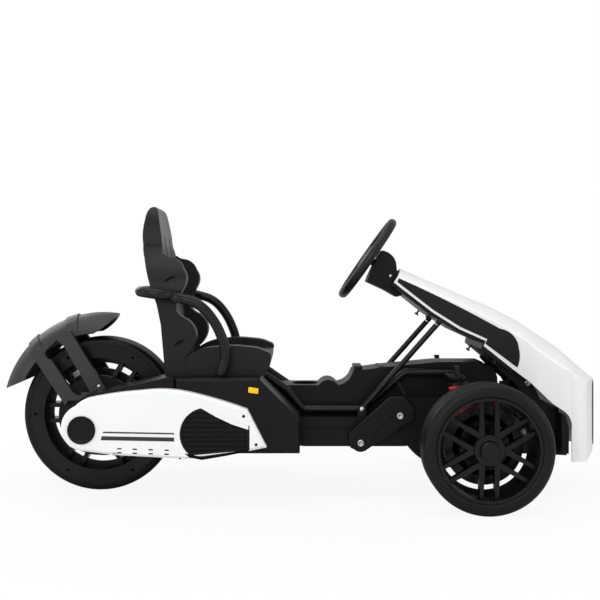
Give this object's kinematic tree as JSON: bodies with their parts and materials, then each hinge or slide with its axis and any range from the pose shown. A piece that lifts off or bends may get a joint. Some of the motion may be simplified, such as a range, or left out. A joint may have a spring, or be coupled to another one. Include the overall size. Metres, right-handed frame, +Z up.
{
  "type": "three-wheeled electric kart for a child",
  "caption": "Child's electric ride-on kart with steered front wheels, a broad driven rear wheel, a bucket seat and a sloping hood.",
  "frame": {"origin": "on the ground under the centre of the overall box", "axes": "+X forward along the longest extent, +Y to the driver's left, +Z up along the shortest extent"},
  "size_m": [1.3001, 0.716, 0.618],
  "materials": {
    "white_body": "gloss",
    "black_body": "satin",
    "grey_body": "satin",
    "seat_shell": "satin",
    "black_tube": "satin",
    "tyre": "matte",
    "rim": "satin",
    "steel": "brushed",
    "red_spring": "gloss",
    "grille": "matte",
    "dark_panel": "gloss"
  },
  "bodies": {
    "chassis": {"rear_axle": "steel", "rear_arm_right": "black_body", "rear_arm_left": "black_body", "side_cover_right": "white_body", "side_cover_left": "white_body", "intake_grille_right": "grille", "intake_grille_left": "grille", "rear_fender": "grey_body", "fender_strut_right": "grey_body", "fender_strut_left": "grey_body", "seat_base": "black_body", "seat_back": "seat_shell", "seat_cushion": "seat_shell", "backrest_hoop": "black_tube", "armrest_right": "black_tube", "armrest_left": "black_tube", "frame_rail_right": "black_tube", "frame_rail_left": "black_tube", "floor_pan": "black_body", "console": "black_body", "front_bulkhead": "black_body", "hood": "white_body", "hood_panel_right": "dark_panel", "hood_panel_left": "dark_panel", "hood_frame": "black_body", "nose_strip": "dark_panel", "hood_strut_right": "black_tube", "hood_strut_left": "black_tube", "axle_carrier_right": "black_tube", "axle_carrier_left": "black_tube", "shock_tower": "black_tube", "damper_right": "black_tube", "damper_left": "black_tube", "spring_right": "red_spring", "spring_left": "red_spring"},
    "rear_wheel": {"rear_tyre": "tyre", "rear_rim": "rim"},
    "steer_unit_right": {"knuckle_right": "steel"},
    "steer_unit_left": {"knuckle_left": "steel"},
    "front_wheel_right": {"front_tyre_right": "tyre", "front_rim_right": "rim"},
    "front_wheel_left": {"front_tyre_left": "tyre", "front_rim_left": "rim"},
    "link": {"tie_rod": "steel"},
    "steering": {"steering_wheel": "black_body"}
  },
  "joints": [
    {"name": "rear_wheel_spin", "type": "hinge", "parent": "chassis", "child": "rear_wheel", "pos_m": [-0.435, 0, 0.167], "axis": [0, 1, 0], "continuous": true},
    {"name": "steer_right", "type": "hinge", "parent": "chassis", "child": "steer_unit_right", "pos_m": [0.368, -0.225, 0.129], "axis": [0, 0, 1], "range_deg": [-22, 22]},
    {"name": "steer_left", "type": "hinge", "parent": "chassis", "child": "steer_unit_left", "pos_m": [0.368, 0.225, 0.129], "axis": [0, 0, 1], "range_deg": [-22.5, 22.5]},
    {"name": "front_wheel_right_spin", "type": "hinge", "parent": "steer_unit_right", "child": "front_wheel_right", "pos_m": [0.368, -0.307, 0.129], "axis": [0, 1, 0], "continuous": true},
    {"name": "front_wheel_left_spin", "type": "hinge", "parent": "steer_unit_left", "child": "front_wheel_left", "pos_m": [0.368, 0.307, 0.129], "axis": [0, 1, 0], "continuous": true},
    {"name": "tie_rod_pivot", "type": "hinge", "parent": "steer_unit_right", "child": "link", "pos_m": [0.458, -0.225, 0.164], "axis": [0, 0, 1], "range_deg": [-22.5, 22.5]},
    {"name": "steering_turn", "type": "hinge", "parent": "chassis", "child": "steering", "pos_m": [0.151, 0, 0.507], "axis": [0.8211, 0, -0.5707], "range_deg": [-34.5, 34.5]}
  ],
  "couplings": [
    {"joint": "steer_left", "follows": "steer_right", "ratio": 1},
    {"joint": "tie_rod_pivot", "follows": "steer_right", "ratio": -1},
    {"joint": "steering_turn", "follows": "steer_right", "ratio": 1.54}
  ]
}
